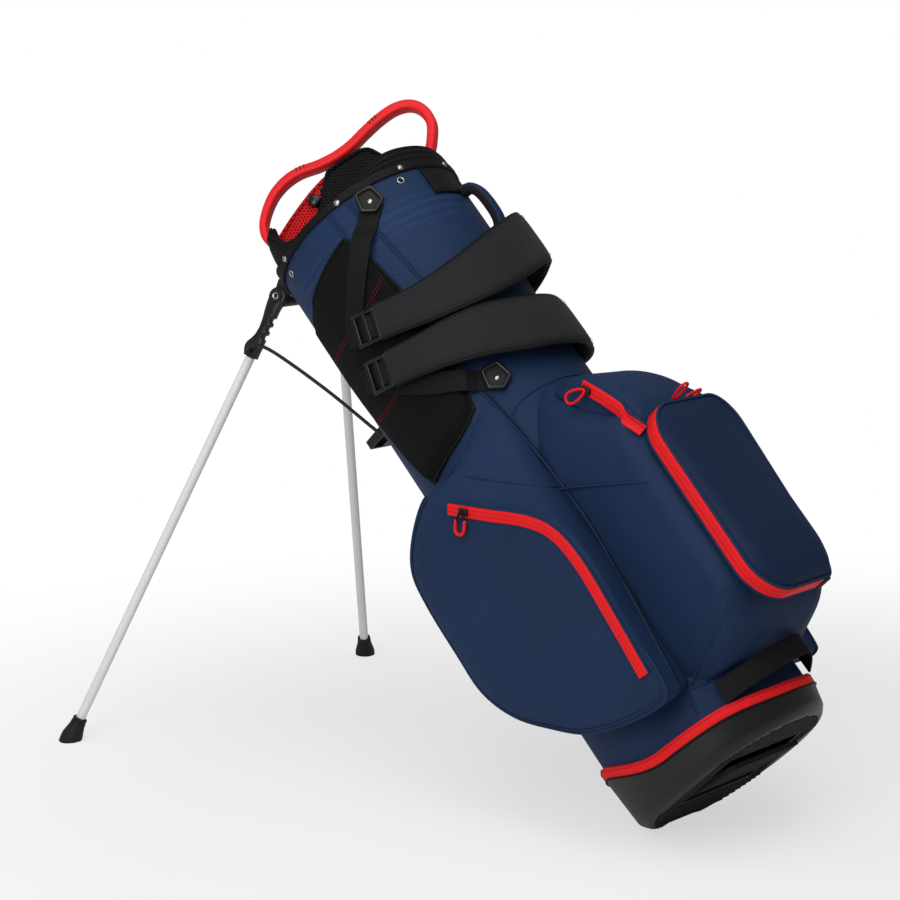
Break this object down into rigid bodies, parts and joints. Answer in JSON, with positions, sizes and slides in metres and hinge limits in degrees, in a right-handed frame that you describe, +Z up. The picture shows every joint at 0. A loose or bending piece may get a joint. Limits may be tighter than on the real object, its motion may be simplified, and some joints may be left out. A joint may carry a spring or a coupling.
{
  "type": "golf stand bag",
  "caption": "Golf stand bag leaning on open folding legs, with divided mouth, wave-shaped carry handle, zipped pockets, shoulder straps and moulded base.",
  "frame": {"origin": "on the ground in the heel facet of the base, on the bag's middle plane", "axes": "+X from the legs towards the ball pocket, +Z up, +Y to the far side pocket"},
  "size_m": [0.9859, 0.5992, 0.8344],
  "materials": {
    "navy_fabric": "matte woven",
    "red_fabric": "woven tape",
    "black_fabric": "matte woven",
    "lining_fabric": "lining",
    "black_plastic": "satin moulding",
    "red_plastic": "soft moulding",
    "base_rubber": "matte",
    "white_alloy": "gloss lacquer",
    "black_steel": "black coated wire",
    "bright_steel": "plain"
  },
  "bodies": {
    "bag": {"back_pocket": "navy_fabric", "ball_pocket": "navy_fabric", "base_boot": "black_plastic", "base_trim_band": "red_fabric", "buckle_lower": "black_plastic", "buckle_upper": "black_plastic", "club_divider_cross": "lining_fabric", "club_divider_main": "lining_fabric", "cuff_binding": "black_fabric", "cuff_patch": "black_plastic", "grab_handle": "navy_fabric", "haul_loop": "black_fabric", "hip_pad": "black_fabric", "leg_pin_far": "bright_steel", "leg_pin_near": "bright_steel", "mouth_collar": "black_plastic", "rod_keeper": "black_plastic", "rod_sleeve": "black_fabric", "shoulder_pad_lower": "black_fabric", "shoulder_pad_upper": "black_fabric", "side_pocket_far": "navy_fabric", "side_pocket_near": "navy_fabric", "stand_head": "black_plastic", "stay_rod_far": "bright_steel", "stay_rod_near": "bright_steel", "strap_anchor_lower": "black_plastic", "strap_anchor_upper": "black_plastic", "strap_hub": "black_fabric", "strap_web_lower": "black_fabric", "strap_web_upper": "black_fabric", "top_handle": "red_plastic", "trunk_panel_back": "navy_fabric", "trunk_panel_far": "navy_fabric", "trunk_panel_near": "navy_fabric", "valuables_pocket": "navy_fabric", "zip_ball": "red_fabric", "zip_side_far": "red_fabric", "zip_side_near": "red_fabric", "zip_valuables": "red_fabric"},
    "leg_near": {"leg_knuckle_near": "black_plastic", "leg_tube_near": "white_alloy", "leg_foot_near": "base_rubber"},
    "link_near": {"stand_link_near": "black_steel"},
    "leg_far": {"leg_knuckle_far": "black_plastic", "leg_tube_far": "white_alloy", "leg_foot_far": "base_rubber"},
    "link_far": {"stand_link_far": "black_steel"},
    "push_rod_body": {"push_rod": "black_steel"},
    "actuator": {"actuator_plate": "base_rubber"},
    "slider_side_near": {"zip_slider_side_near": "black_plastic"},
    "pull_side_near": {"zip_pull_side_near": "red_fabric"},
    "slider_side_far": {"zip_slider_side_far": "black_plastic"},
    "pull_side_far": {"zip_pull_side_far": "red_fabric"},
    "slider_ball_near": {"zip_slider_ball_near": "black_plastic"},
    "pull_ball_near": {"zip_pull_ball_near": "red_fabric"},
    "slider_ball_far": {"zip_slider_ball_far": "black_plastic"},
    "pull_ball_far": {"zip_pull_ball_far": "red_fabric"},
    "slider_valuables": {"zip_slider_valuables": "black_plastic"},
    "pull_valuables": {"zip_pull_valuables": "red_fabric"}
  },
  "joints": [
    {"name": "leg_near_fold", "type": "hinge", "parent": "bag", "child": "leg_near", "pos_m": [-0.59095, -0.056, 0.58159], "axis": [0.2813, -0.9192, 0.2755], "range_deg": [0, 62.9]},
    {"name": "leg_far_fold", "type": "hinge", "parent": "bag", "child": "leg_far", "pos_m": [-0.59095, 0.056, 0.58159], "axis": [-0.2813, -0.9192, -0.2755], "range_deg": [0, 62.9]},
    {"name": "link_near_swing", "type": "hinge", "parent": "leg_near", "child": "link_near", "pos_m": [-0.61169, -0.08334, 0.51155], "axis": [0.2813, -0.9192, 0.2755], "range_deg": [-81, 0]},
    {"name": "link_far_swing", "type": "hinge", "parent": "leg_far", "child": "link_far", "pos_m": [-0.61169, 0.08334, 0.51155], "axis": [-0.2813, -0.9192, -0.2755], "range_deg": [-81, 0]},
    {"name": "push_rod_slide", "type": "slide", "parent": "bag", "child": "push_rod_body", "axis": [0.6997, 0, -0.7145], "range_m": [0, 0.06]},
    {"name": "actuator_swing", "type": "hinge", "parent": "bag", "child": "actuator", "pos_m": [0.07569, 0, 0.05663], "axis": [0, 1, 0], "range_deg": [-8, 0]},
    {"name": "slider_side_near_run", "type": "slide", "parent": "bag", "child": "slider_side_near", "axis": [0.9998, 0, 0.0191], "range_m": [0, 0.066]},
    {"name": "pull_side_near_flip", "type": "hinge", "parent": "slider_side_near", "child": "pull_side_near", "pos_m": [-0.16972, -0.1785, 0.37429], "axis": [1, 0, 0], "range_deg": [-90, 0]},
    {"name": "slider_side_far_run", "type": "slide", "parent": "bag", "child": "slider_side_far", "axis": [0.9998, 0, 0.0191], "range_m": [0, 0.066]},
    {"name": "pull_side_far_flip", "type": "hinge", "parent": "slider_side_far", "child": "pull_side_far", "pos_m": [-0.16972, 0.1785, 0.37429], "axis": [-1, 0, 0], "range_deg": [-90, 0]},
    {"name": "slider_ball_near_run", "type": "slide", "parent": "bag", "child": "slider_ball_near", "axis": [0, -1, 0], "range_m": [0, 0.03]},
    {"name": "pull_ball_near_flip", "type": "hinge", "parent": "slider_ball_near", "child": "pull_ball_near", "pos_m": [0.01161, -0.013, 0.50754], "axis": [0, 1, 0], "range_deg": [-90, 0]},
    {"name": "slider_ball_far_run", "type": "slide", "parent": "bag", "child": "slider_ball_far", "axis": [0, 1, 0], "range_m": [0, 0.03]},
    {"name": "pull_ball_far_flip", "type": "hinge", "parent": "slider_ball_far", "child": "pull_ball_far", "pos_m": [0.01161, 0.013, 0.50754], "axis": [-0.7145, 0, -0.6997], "range_deg": [-90, 0]},
    {"name": "slider_valuables_run", "type": "slide", "parent": "bag", "child": "slider_valuables", "axis": [0.9564, 0, -0.2922], "range_m": [0, 0.04]},
    {"name": "pull_valuables_flip", "type": "hinge", "parent": "slider_valuables", "child": "pull_valuables", "pos_m": [-0.06577, -0.0835, 0.51727], "axis": [0.5055, 0, -0.8628], "range_deg": [-90, 0]}
  ],
  "couplings": [
    {"joint": "leg_far_fold", "follows": "leg_near_fold", "ratio": 1},
    {"joint": "link_near_swing", "follows": "leg_near_fold", "ratio": -1.286},
    {"joint": "link_far_swing", "follows": "leg_near_fold", "ratio": -1.286},
    {"joint": "push_rod_slide", "follows": "leg_near_fold", "m_per_rad": 0.0537},
    {"joint": "actuator_swing", "follows": "leg_near_fold", "ratio": -0.1272}
  ]
}
